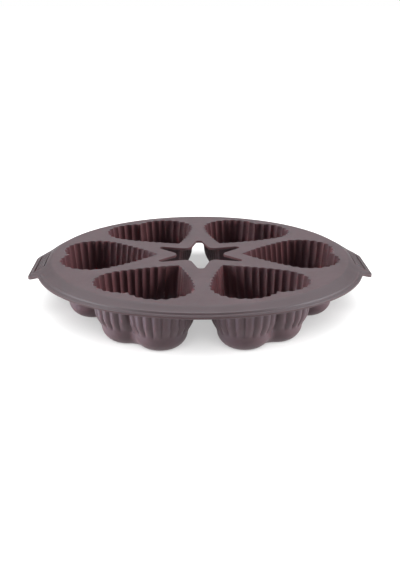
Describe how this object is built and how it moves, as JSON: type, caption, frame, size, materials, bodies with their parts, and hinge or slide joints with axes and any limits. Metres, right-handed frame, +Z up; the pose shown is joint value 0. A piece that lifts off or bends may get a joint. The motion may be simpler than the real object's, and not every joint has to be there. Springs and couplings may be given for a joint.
{
  "type": "silicone muffin mould",
  "caption": "Round flexible baking mould with fluted heart-shaped cups hanging from a flat deck, a star opening in the middle, a sloping brim and ribbed grip tabs.",
  "frame": {"origin": "on the floor under the middle of the star opening, level with the flat floors of the cups", "axes": "+Z up out of the cups, +X through the right grip and the middle of one cup, +Y to the back, away from the picture's viewer"},
  "size_m": [0.2698, 0.2592, 0.045],
  "materials": {
    "silicone": "satin"
  },
  "bodies": {
    "root": {"heart_cup_1": "silicone", "heart_cup_2": "silicone", "heart_cup_3": "silicone", "heart_cup_4": "silicone", "heart_cup_5": "silicone", "heart_cup_6": "silicone", "deck_web_1": "silicone", "deck_web_2": "silicone", "deck_web_3": "silicone", "deck_web_4": "silicone", "deck_web_5": "silicone", "deck_web_6": "silicone", "brim_back": "silicone", "brim_front": "silicone", "grip_right": "silicone", "grip_left": "silicone"}
  },
  "joints": []
}
